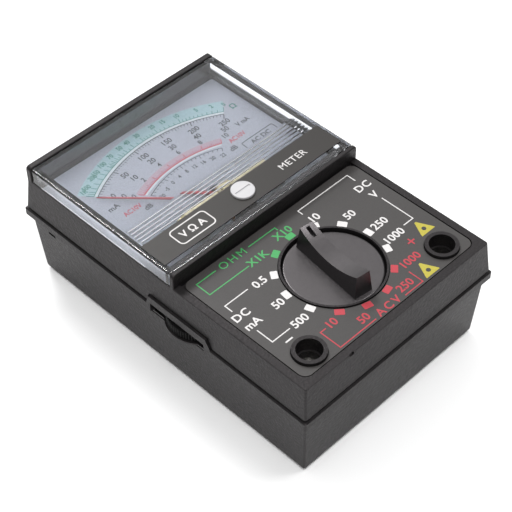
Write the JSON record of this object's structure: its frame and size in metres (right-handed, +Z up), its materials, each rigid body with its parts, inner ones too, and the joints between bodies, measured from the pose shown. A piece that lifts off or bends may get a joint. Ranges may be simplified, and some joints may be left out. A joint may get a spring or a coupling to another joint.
{
  "type": "analog multimeter",
  "caption": "Pocket moving-coil multimeter with a clear-covered needle dial, a rotary range switch, two test-lead jacks and an ohm-zero thumbwheel.",
  "frame": {"origin": "middle of the flat base that the meter lies on", "axes": "+X to the right across the case, +Y from the jacks towards the meter's dial, +Z up out of the faceplate"},
  "size_m": [0.0678, 0.1008, 0.0385],
  "materials": {
    "case_plastic": "fine matt texture, charcoal black",
    "faceplate_print": "screen-printed satin sheet, warm dark grey",
    "clear_cover": "clear polystyrene, polished",
    "strip_print": "printed dark grey-brown strip",
    "zinc_steel": "zinc plated",
    "knob_plastic": "satin black moulding",
    "wheel_plastic": "deep black moulding, fine knurl",
    "inner_plastic": "plain black moulding",
    "brass": "bare brass",
    "bright_steel": "polished steel",
    "spring_steel": "drawn wire",
    "dial_print": "pale blue-white printed aluminium",
    "magnet": "sintered magnet",
    "bare_aluminium": "bare aluminium",
    "bronze_strip": "phosphor bronze strip",
    "copper_wire": "enamelled copper",
    "needle_red": "red painted aluminium",
    "white_plastic": "white moulding",
    "board_laminate": "phenolic paper laminate",
    "resistor_body": "lacquered",
    "diode_body": "black epoxy",
    "nickel_brass": "nickel plated brass",
    "fuse_tube": "glass tube",
    "cell_jacket": "plain printed jacket",
    "lead_insulation": "insulated lead"
  },
  "bodies": {
    "case": {"lower_shell": "case_plastic", "upper_shell": "case_plastic", "faceplate": "faceplate_print", "meter_cover": "clear_cover", "label_strip": "strip_print", "case_screws": "zinc_steel", "pot_body": "inner_plastic", "dial_plate": "dial_print", "movement_frame": "inner_plastic", "movement_screws": "zinc_steel", "yoke_ring": "zinc_steel", "core_magnet": "magnet", "core_bridge": "bare_aluminium", "lower_bridge": "brass", "upper_bridge": "brass", "bridge_screws": "brass", "lower_jewel_screw": "brass", "upper_jewel_screw": "brass", "lower_hairspring": "bronze_strip", "upper_hairspring": "bronze_strip", "circuit_board": "board_laminate", "switch_tracks": "copper_wire", "resistors": "resistor_body", "diodes": "diode_body", "jack_socket_minus": "nickel_brass", "jack_socket_plus": "nickel_brass", "fuse_glass": "fuse_tube", "fuse_caps": "nickel_brass", "fuse_clips": "nickel_brass", "battery_cell": "cell_jacket", "battery_plate_contact": "nickel_brass", "battery_spring": "spring_steel", "battery_spring_plate": "nickel_brass", "meter_leads": "lead_insulation"},
    "selector": {"selector_knob": "knob_plastic", "switch_rotor": "inner_plastic", "wiper_contacts": "brass", "detent_balls": "bright_steel", "detent_springs": "spring_steel", "rotor_screw": "zinc_steel"},
    "ohm_wheel": {"ohm_adjust_wheel": "wheel_plastic"},
    "needle_and_coil": {"needle": "needle_red", "coil_former": "bare_aluminium", "moving_coil": "copper_wire", "staff_pivots": "bright_steel", "balance_weights": "brass"},
    "zero_screw": {"zero_adjust_screw": "white_plastic"},
    "zero_fork": {"zero_arm": "brass"}
  },
  "joints": [
    {"name": "selector_turn", "type": "hinge", "parent": "case", "child": "selector", "pos_m": [0, -0.0276, 0.03], "axis": [0, 0, -1], "continuous": true},
    {"name": "ohm_wheel_turn", "type": "hinge", "parent": "case", "child": "ohm_wheel", "pos_m": [-0.0255, -0.0075, 0.0209], "axis": [0, 0, 1], "range_deg": [-150, 150]},
    {"name": "needle_swing", "type": "hinge", "parent": "case", "child": "needle_and_coil", "pos_m": [0, 0.0081, 0.03], "axis": [0, 0, -1], "range_deg": [-2, 90], "stiffness_Nm_per_rad": 0.0001},
    {"name": "zero_screw_turn", "type": "hinge", "parent": "case", "child": "zero_screw", "pos_m": [0, 0.0032, 0.036], "axis": [0, 0, 1], "range_deg": [-60, 60]},
    {"name": "zero_fork_turn", "type": "hinge", "parent": "case", "child": "zero_fork", "pos_m": [0, 0.0081, 0.0332], "axis": [0, 0, 1], "range_deg": [-11.5, 11.5]}
  ],
  "couplings": [
    {"joint": "zero_fork_turn", "follows": "zero_screw_turn", "ratio": -0.19}
  ]
}
